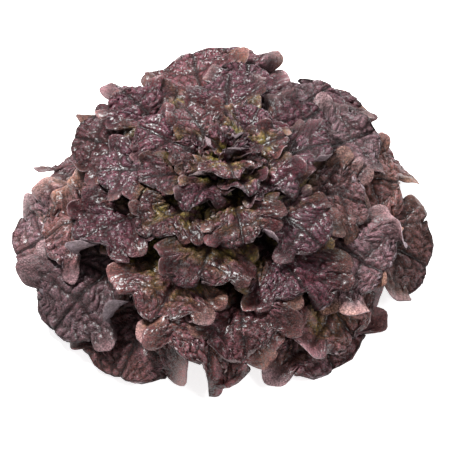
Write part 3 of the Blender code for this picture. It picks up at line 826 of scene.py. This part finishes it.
# %% [markdown]
# ## Finishes
# The upper face is dark purple-brown and waxy, greener near the root, greyer on the lobes, with
# a pale thin rib. The lower face is duller, a greyish mauve. One material could tell the faces
# apart by which side is seen, but the export can't keep that, so each face has its own. Both
# have the same fine net of veins and the same clouds, which are node groups used by each finish
# with its own values.

# %% Adding and feeding nodes
def feed(tree, socket, value):
    """Sets a node's input to a value, or links another node's output to it."""
    if isinstance(value, bpy.types.NodeSocket):
        tree.links.new(value, socket)
    else:
        socket.default_value = value


def add(tree, kind, group=None, **inputs):
    """A node, or a shared group, with values or other nodes' sockets on its named inputs."""
    made = tree.nodes.new(kind)
    if group:
        made.node_tree = group
    for name, value in inputs.items():
        feed(tree, made.inputs[name.replace("_", " ")], value)
    return made


# %% Mixing colours, arithmetic, and a leaf's masks
MIX_SOCKETS = (0, 6, 7)  # the share and the two colours


def masked(tree, share, first, second):
    """Colour mix of two colours or sockets by a share."""
    mix = tree.nodes.new("ShaderNodeMix")
    mix.data_type = "RGBA"
    for number, value in zip(MIX_SOCKETS, (share, first, second)):
        feed(tree, mix.inputs[number], value)
    return mix.outputs[2]


def math_node(tree, operation, *values):
    """One step of arithmetic on values or sockets; a sum is kept between 0 and 1."""
    made = tree.nodes.new("ShaderNodeMath")
    made.operation = operation
    made.use_clamp = operation == "MULTIPLY_ADD"
    for socket, value in zip(made.inputs, values):
        feed(tree, socket, value)
    return made.outputs[0]


def mask_of(tree, name):
    """A leaf's own attribute as a value."""
    made = tree.nodes.new("ShaderNodeAttribute")
    made.attribute_name = name
    return made.outputs["Fac"]


# %% Shared groups: the net of fine veins, and cloudy patches
def new_group(name, inputs, outputs):
    """An empty shader node group with float or vector inputs and float outputs."""
    group = bpy.data.node_groups.new(name, "ShaderNodeTree")
    for label, kind, value in inputs:
        socket = group.interface.new_socket(label, in_out="INPUT", socket_type=kind)
        if value is not None:
            socket.default_value = value
    for label in outputs:
        group.interface.new_socket(label, in_out="OUTPUT", socket_type="NodeSocketFloat")
    return group, group.nodes.new("NodeGroupInput"), group.nodes.new("NodeGroupOutput")


net, net_in, net_out = new_group("net of veins", [
    ("Vector", "NodeSocketVector", None), ("Cell size", "NodeSocketFloat", 0.002),
    ("Wobble", "NodeSocketFloat", 0.3)], ["Height", "Vein"])
per_cell = math_node(net, "DIVIDE", 1.0, net_in.outputs["Cell size"])
cells_at = net.nodes.new("ShaderNodeVectorMath")
cells_at.operation = "SCALE"
net.links.new(net_in.outputs["Vector"], cells_at.inputs[0])
net.links.new(per_cell, cells_at.inputs["Scale"])
bend = add(net, "ShaderNodeTexNoise", Vector=cells_at.outputs[0], Scale=0.8, Detail=2.0)
shifted = net.nodes.new("ShaderNodeVectorMath")
shifted.operation = "MULTIPLY_ADD"
net.links.new(bend.outputs["Color"], shifted.inputs[0])
net.links.new(net_in.outputs["Wobble"], shifted.inputs[1])
net.links.new(cells_at.outputs[0], shifted.inputs[2])
net_cells = add(net, "ShaderNodeTexVoronoi", Vector=shifted.outputs[0], Scale=1.0)
net_cells.feature = "DISTANCE_TO_EDGE"
rise = add(net, "ShaderNodeMapRange", Value=net_cells.outputs["Distance"], From_Max=0.25)
rise.interpolation_type = "SMOOTHSTEP"
net.links.new(rise.outputs["Result"], net_out.inputs["Height"])
net.links.new(math_node(net, "SUBTRACT", 1.0, rise.outputs["Result"]), net_out.inputs["Vein"])

cloud, cloud_in, cloud_out = new_group("cloudy patches", [
    ("Vector", "NodeSocketVector", None), ("Patches per metre", "NodeSocketFloat", 30.0),
    ("Low", "NodeSocketFloat", 0.4), ("High", "NodeSocketFloat", 0.6)], ["Mask"])
hills = add(cloud, "ShaderNodeTexNoise", Vector=cloud_in.outputs["Vector"],
            Scale=cloud_in.outputs["Patches per metre"], Detail=4.0, Roughness=0.55)
patch = add(cloud, "ShaderNodeMapRange", Value=hills.outputs["Fac"],
            From_Min=cloud_in.outputs["Low"], From_Max=cloud_in.outputs["High"])
patch.interpolation_type = "SMOOTHSTEP"
cloud.links.new(patch.outputs["Result"], cloud_out.inputs["Mask"])
print("groups:", [group.name for group in bpy.data.node_groups])


# %% Colour of a leaf's face
PATCH_SHARE = 0.4
MARGIN_SHARE = 0.4


def leaf_colour(tree, look, clouds, net_vein):
    """Body colours by the leaf's tint and wide clouds. Over them, one by one: patches, green
    at the root, bloom on the lobes, a painted highlight on the dome tops, the net, side veins,
    rib and margin, and painted shade in the creases. A fine mottle and the leaf's tone then make
    all of it lighter or darker; the tone holds painted shade towards the base and painted light
    on the lobes."""
    clouded = math_node(tree, "MULTIPLY_ADD", clouds["wide"], 0.4, mask_of(tree, "tint"))
    colour = masked(tree, math_node(tree, "MULTIPLY_ADD", clouded, 1.6, 0.0), look["dark"],
                    look["purple"])
    colour = masked(tree, math_node(tree, "MULTIPLY_ADD", clouded, 1.6, -0.9), colour,
                    look["brown"])
    dusty = masked(tree, math_node(tree, "MULTIPLY_ADD", clouded, 2.2, -0.7), look["bloom"],
                   look["tan"])
    # Painted highlight on the dome tops, and painted shade in the creases between the domes.
    painted_dome_highlight = math_node(tree, "MULTIPLY_ADD", mask_of(tree, "dome"), 1.8, -0.9)
    crease = math_node(tree, "SUBTRACT", 1.0, mask_of(tree, "dome"))
    for mask, most, over in (
            (clouds["medium"], PATCH_SHARE, look["patch"]),
            (mask_of(tree, "green"), clouds["medium"], look["green"]),
            (mask_of(tree, "bloom"), look["bloom share"], dusty),
            (painted_dome_highlight, look["painted highlight share"], look["top"]),
            (net_vein, look["net share"], look["vein"]),
            (mask_of(tree, "vein"), look["vein share"], look["vein"]),
            (mask_of(tree, "rib"), 1.0, look["rib"]),
            (mask_of(tree, "margin"), MARGIN_SHARE, look["margin"]),
            (crease, look["painted crease shade share"], look["crease"])):
        colour = masked(tree, math_node(tree, "MULTIPLY", mask, most), colour, over)
    mottle = add(tree, "ShaderNodeMapRange", Value=clouds["fine"],
                 To_Min=look["mottle"][0], To_Max=look["mottle"][1])
    # The tone carries painted shade at the base and painted light on the lobes.
    toned = math_node(tree, "MULTIPLY", mottle.outputs["Result"], mask_of(tree, "tone"))
    mottled = masked(tree, 1.0, colour, toned)
    mottled.node.blend_type = "MULTIPLY"
    return mottled


# %% Finish of a leaf's face
CLOUDS = {  # patches per metre, low, high
    "wide": (24.0, 0.36, 0.64), "medium": (95.0, 0.38, 0.64), "fine": (700.0, 0.40, 0.60),
}
NET_CELL = 0.0019
NET_WOBBLE = 0.7
BUMP_DISTANCE = 0.0006
COAT_ROUGHNESS = 0.33


def new_finish(name):
    """An empty finish: the material, its tree, its shader's inputs, and where a point is."""
    finish = bpy.data.materials.new(name)
    finish.use_nodes = True
    tree = finish.node_tree
    where = tree.nodes.new("ShaderNodeTexCoord").outputs["Object"]
    return finish, tree, tree.nodes["Principled BSDF"].inputs, where


def leaf_finish(name, look):
    """A leaf face: its colour, a gloss and a coat of wax that bloom and mottle dull, and a
    grain from the net of veins."""
    finish, tree, shader, where = new_finish(name)
    clouds = {size: add(tree, "ShaderNodeGroup", cloud, Vector=where, Patches_per_metre=many,
                        Low=low, High=high).outputs["Mask"]
              for size, (many, low, high) in CLOUDS.items()}
    veins = add(tree, "ShaderNodeGroup", net, Vector=where, Cell_size=NET_CELL,
                Wobble=NET_WOBBLE).outputs
    feed(tree, shader["Base Color"], leaf_colour(tree, look, clouds, veins["Vein"]))
    dull = math_node(tree, "MAXIMUM", mask_of(tree, "bloom"), clouds["fine"])
    gloss = add(tree, "ShaderNodeMapRange", Value=dull,
                To_Min=look["roughness"][0], To_Max=look["roughness"][1])
    feed(tree, shader["Roughness"], gloss.outputs["Result"])
    grain = math_node(tree, "MULTIPLY_ADD", clouds["fine"], 0.4, veins["Height"])
    grain.node.use_clamp = False
    bump = add(tree, "ShaderNodeBump", Height=grain, Strength=look["bump"],
               Distance=BUMP_DISTANCE)
    feed(tree, shader["Normal"], bump.outputs["Normal"])
    wax = math_node(tree, "MULTIPLY", math_node(tree, "SUBTRACT", 1.0, dull), look["wax"])
    # The coat is thinned by the tone too, so there is less of it where shade is painted.
    feed(tree, shader["Coat Weight"], math_node(tree, "MULTIPLY", wax, mask_of(tree, "tone")))
    shader["Coat Roughness"].default_value = COAT_ROUGHNESS
    shader["Specular IOR Level"].default_value = look["shine"]
    return finish


# %% Colours and values of the two faces
upper_look = {
    "dark": (0.014, 0.001, 0.004, 1), "purple": (0.058, 0.004, 0.016, 1),
    "brown": (0.050, 0.013, 0.006, 1), "patch": (0.100, 0.010, 0.021, 1),
    # crease: the colour of the painted shade in the creases between the domes
    "green": (0.380, 0.350, 0.030, 1), "crease": (0.005, 0.0006, 0.001, 1),
    "vein": (0.115, 0.026, 0.034, 1), "rib": (0.24, 0.06, 0.045, 1),
    "margin": (0.22, 0.115, 0.118, 1), "bloom": (0.395, 0.272, 0.275, 1),
    "tan": (0.300, 0.168, 0.100, 1), "bloom share": 0.95,
    # top: the colour of the painted highlight on the dome tops
    "top": (0.330, 0.190, 0.245, 1), "painted highlight share": 0.17,
    "painted crease shade share": 0.95, "net share": 0.22, "vein share": 0.35, "mottle": (0.56, 1.34),
    "roughness": (0.36, 0.60), "bump": 0.85, "shine": 0.20, "wax": 0.72,
}
under_look = {
    "dark": (0.150, 0.105, 0.125, 1), "purple": (0.200, 0.145, 0.170, 1),
    "brown": (0.200, 0.145, 0.125, 1), "patch": (0.280, 0.220, 0.250, 1),
    # crease: the colour of the painted shade in the creases between the domes
    "green": (0.110, 0.115, 0.025, 1), "crease": (0.045, 0.024, 0.028, 1),
    "vein": (0.14, 0.098, 0.100, 1), "rib": (0.25, 0.20, 0.11, 1),
    "margin": (0.18, 0.125, 0.130, 1), "bloom": (0.300, 0.260, 0.285, 1),
    "tan": (0.180, 0.125, 0.090, 1), "bloom share": 0.8,
    # top: the colour of the painted highlight on the dome tops
    "top": (0.300, 0.260, 0.285, 1), "painted highlight share": 0.10,
    "painted crease shade share": 0.35, "net share": 0.35, "vein share": 0.5, "mottle": (0.7, 1.25),
    "roughness": (0.50, 0.68), "bump": 0.4, "shine": 0.30, "wax": 0.1,
}
upper_finish = leaf_finish("leaf upper face", upper_look)
under_finish = leaf_finish("leaf lower face", under_look)
print("finishes:", upper_finish.name, "and", under_finish.name)

# %% [markdown]
# ## From grids to meshes
# A leaf is a thin sheet with two faces. A Solidify modifier could give it its thickness, but the
# midrib is fleshier than the margin. So each leaf becomes one closed mesh: the upper grid, the
# lower grid turned over, and a narrow band round the edge that joins them. The masks go with it
# as attributes that the finishes read.

# %% Two faces and an edge
MASKS = ("dome", "vein", "rib", "margin", "bloom", "tint", "tone", "green")


def sheet_faces(rows, columns):
    """Corner numbers of the upper quads, the lower ones turned over, and the edge band."""
    number = np.arange(rows * columns).reshape(rows, columns)
    a, b = number[:-1, :-1].ravel(), number[1:, :-1].ravel()
    c, d = number[1:, 1:].ravel(), number[:-1, 1:].ravel()
    upper = np.stack([a, b, c, d], 1)
    lower = np.stack([d, c, b, a], 1) + rows * columns
    loop = np.concatenate([number[:-1, 0], number[-1, :-1], number[:0:-1, -1], number[0, :0:-1]])
    ahead = np.roll(loop, -1)
    band = np.stack([ahead, loop, loop + rows * columns, ahead + rows * columns], 1)
    return upper, lower, band


def leaf_mesh_data(leaf):
    """Vertices, quads, material numbers and masks of one leaf's two faces and edge band."""
    rows, columns = leaf["u"].shape
    under = leaf["points"] - normals(leaf["points"]) * leaf["thickness"][..., None]
    upper, lower, band = sheet_faces(rows, columns)
    masks = {name: np.tile(leaf[name].ravel(), 2) for name in MASKS}
    return {"points": np.concatenate([leaf["points"].reshape(-1, 3), under.reshape(-1, 3)]),
            "quads": np.concatenate([upper, lower, band]),
            "finish": np.repeat([0, 1, 1], [len(upper), len(lower), len(band)]),
            "masks": masks}


oldest = leaf_mesh_data(leaves[0])
print("oldest leaf:", len(oldest["points"]), "points and", len(oldest["quads"]), "quads")


# %% From numbers to a mesh
def mesh_of(name, parts):
    """One mesh of one leaf or several, with quads, smooth shading, finishes and masks."""
    starts = np.cumsum([0] + [len(part["points"]) for part in parts])
    points = np.concatenate([part["points"] for part in parts])
    quads = np.concatenate([part["quads"] + start for part, start in zip(parts, starts)])
    mesh = bpy.data.meshes.new(name)
    mesh.vertices.add(len(points))
    mesh.vertices.foreach_set("co", points.astype(np.float32).ravel())
    mesh.loops.add(quads.size)
    mesh.loops.foreach_set("vertex_index", quads.astype(np.int32).ravel())
    mesh.polygons.add(len(quads))
    mesh.polygons.foreach_set("loop_start", np.arange(0, quads.size, 4, dtype=np.int32))
    mesh.polygons.foreach_set("use_smooth", np.ones(len(quads), bool))
    for finish in (upper_finish, under_finish):
        mesh.materials.append(finish)
    which = np.concatenate([part["finish"] for part in parts])
    mesh.polygons.foreach_set("material_index", which.astype(np.int32))
    for mask in parts[0]["masks"]:
        values = np.concatenate([part["masks"][mask] for part in parts])
        attribute = mesh.attributes.new(mask, "FLOAT", "POINT")
        attribute.data.foreach_set("value", values.astype(np.float32))
    mesh.update(calc_edges=True)
    mesh.validate()
    return mesh


# %% One piece for each node
def placed_piece(name, mesh, node):
    """The mesh as an object at the origin that rides with the head and stands for its node."""
    piece = bpy.data.objects.new(name, mesh)
    bpy.context.scene.collection.objects.link(piece)
    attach(piece, "root")
    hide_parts(node)
    return piece


separate = OUTER_LEAVES + INNER_LEAVES
pieces = []
for number, leaf in enumerate(leaves[:separate], 1):
    node = f"leaf_{number:02d}"
    mesh = mesh_of(node + "_blade", [leaf_mesh_data(leaf)])
    pieces.append(placed_piece(f"crinkled_{node}", mesh, node))
bunch = [leaf_mesh_data(leaf) for leaf in leaves[separate:]]
pieces.append(placed_piece("heart_bunch", mesh_of("heart_bunch", bunch), "heart"))
print("pieces:", len(pieces), "triangles:", 2 * sum(len(obj.data.polygons) for obj in pieces),
      "most in one:", 2 * max(len(obj.data.polygons) for obj in pieces))

# %% [markdown]
# ## Stem
# The stem is a short pale core, cut straight across, browner in blotches where the cut has dried,
# with a faint net of pith. It could be modelled anew with a ragged cut, but it is hidden under the
# leaves and its solid has the right shape, so the solid stays and only gets its finish.

# %% Finish of the stem
STEM_PALE = (0.62, 0.55, 0.33, 1)
STEM_DRY = (0.44, 0.33, 0.17, 1)
STEM_PITH = (0.36, 0.24, 0.12, 1)
STEM_ROUGHNESS = 0.55

stem_finish, tree, shader, where = new_finish("stem")
blotch = add(tree, "ShaderNodeGroup", cloud, Vector=where, Patches_per_metre=90.0, Low=0.40,
             High=0.70)
pith = add(tree, "ShaderNodeGroup", net, Vector=where, Cell_size=0.0011, Wobble=0.3)
stem_colour = masked(tree, blotch.outputs["Mask"], STEM_PALE, STEM_DRY)
stem_colour = masked(tree, math_node(tree, "MULTIPLY", pith.outputs["Vein"], 0.3), stem_colour,
                     STEM_PITH)
feed(tree, shader["Base Color"], stem_colour)
stem_bump = add(tree, "ShaderNodeBump", Height=pith.outputs["Height"], Strength=0.4,
                Distance=0.0003)
feed(tree, shader["Normal"], stem_bump.outputs["Normal"])
shader["Roughness"].default_value = STEM_ROUGHNESS
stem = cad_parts["stem"]
stem.data.materials.clear()
stem.data.materials.append(stem_finish)
print("stem finish on", stem.name)
